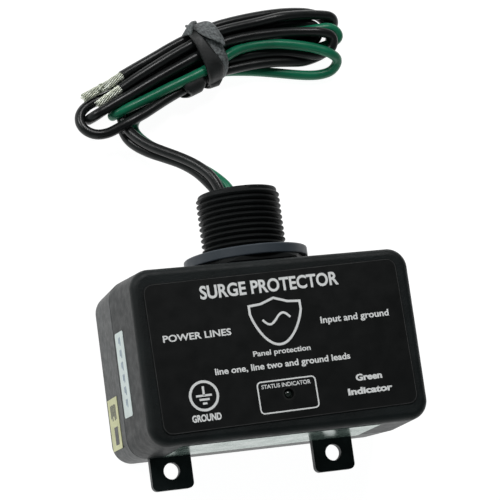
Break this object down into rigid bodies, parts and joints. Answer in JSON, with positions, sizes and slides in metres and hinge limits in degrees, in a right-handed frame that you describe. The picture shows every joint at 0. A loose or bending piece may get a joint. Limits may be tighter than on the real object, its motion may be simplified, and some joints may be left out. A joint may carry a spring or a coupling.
{
  "type": "whole house surge protector",
  "caption": "Sealed black box on a threaded conduit nipple with a hexagonal flange, wall tabs, a status lamp, and line and ground leads folded into a tied hank; guards a building's wiring.",
  "frame": {"origin": "centre of the box's flat back face, on the ground plane Z = 0", "axes": "+Z out of the front label, +Y along the conduit nipple away from the box, +X to the label's right"},
  "size_m": [0.0964, 0.1571, 0.0485],
  "materials": {
    "housing": "fine moulded texture, black, satin on the side walls",
    "front_label": "black printed polyester overlay with white print",
    "white_label": "white adhesive label with small dark print",
    "beige_label": "cream adhesive label with a dark block",
    "clear_film": "glossy film over the bottom wall",
    "nipple": "moulded black thread, satin crests",
    "washer": "dark blue-grey rubber, matt",
    "bezel": "black, glossy",
    "lamp": "dark unlit lamp lens",
    "board": "green solder mask",
    "screw": "zinc plated",
    "varistor": "blue epoxy coating",
    "fuse": "cream body with plated wire",
    "capacitor": "red moulded box",
    "resistor": "tan body",
    "rectifier": "black moulded",
    "terminal": "plain",
    "sealant": "black potting compound",
    "black_insulation": "smooth nylon jacket, glossy",
    "green_insulation": "smooth nylon jacket, glossy",
    "conductor": "tinned twisted copper strands",
    "tie": "grey-black flat band, matt"
  },
  "bodies": {
    "enclosure": {"front_housing": "housing", "rear_cover": "housing", "front_label": "front_label", "side_label": "white_label", "rating_label": "beige_label", "bottom_label": "clear_film", "conduit_nipple": "nipple", "led_bezel": "bezel", "status_led": "lamp", "circuit_board": "board", "board_screws": "screw", "varistor_1": "varistor", "varistor_2": "varistor", "varistor_3": "varistor", "varistor_4": "varistor", "varistor_5": "varistor", "varistor_6": "varistor", "thermal_fuse_1": "fuse", "thermal_fuse_2": "fuse", "filter_capacitor": "capacitor", "indicator_resistors": "resistor", "bridge_rectifier": "rectifier", "lead_hank": "black_insulation", "wire_tie": "tie", "black_lead_a": "black_insulation", "black_lead_b": "black_insulation", "green_lead": "green_insulation", "black_lead_a_inside": "black_insulation", "black_lead_b_inside": "black_insulation", "green_lead_inside": "green_insulation", "line_terminal_a": "terminal", "line_terminal_b": "terminal", "ground_terminal": "terminal", "lead_seal": "sealant", "black_lead_a_end": "conductor", "black_lead_b_end": "conductor", "green_lead_end": "conductor"},
    "washer": {"sealing_washer": "washer"}
  },
  "joints": [
    {"name": "washer_slide", "type": "slide", "parent": "enclosure", "child": "washer", "axis": [0, 1, 0], "range_m": [0, 0.018]}
  ]
}
